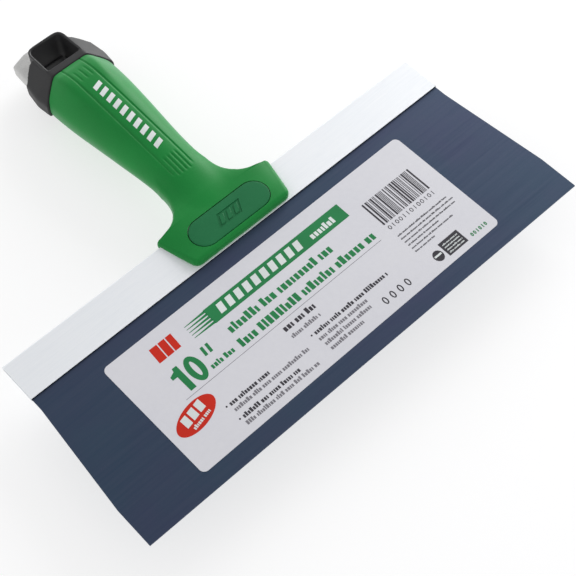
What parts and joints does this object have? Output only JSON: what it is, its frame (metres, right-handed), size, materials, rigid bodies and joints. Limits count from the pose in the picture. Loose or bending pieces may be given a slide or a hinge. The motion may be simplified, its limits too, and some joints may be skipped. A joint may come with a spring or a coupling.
{
  "type": "drywall taping knife",
  "caption": "Wide flexible steel taping blade in a folded backing bar, riveted to a soft-grip handle that ends in a square hang hole and a metal hammer cap.",
  "frame": {"origin": "middle of the blade's working edge, half way through the sheet", "axes": "+X along the working edge, +Y from the working edge towards the hammer cap, +Z out of the blade's labelled face"},
  "size_m": [0.254, 0.2423, 0.031],
  "materials": {
    "blued_steel": "slate-blue oxide film over fine grinding lines, satin",
    "bar_sheet": "pale matt sheet with faint rolling lines",
    "rivet_steel": "plated, satin",
    "core_plastic": "black glass-filled nylon, fine spark texture",
    "grip_rubber": "green soft overmould, fine matt texture",
    "cover_plastic": "bluer green, fine matt texture",
    "cap_metal": "cast and tumbled, satin",
    "label_film": "white printed film with a soft sheen"
  },
  "bodies": {
    "root": {"blade": "blued_steel", "back_bar": "bar_sheet", "saddle_rivets": "rivet_steel", "handle_core": "core_plastic", "soft_grip": "grip_rubber", "front_cover": "cover_plastic", "back_cover": "cover_plastic", "hammer_cap": "cap_metal", "label": "label_film"}
  },
  "joints": []
}
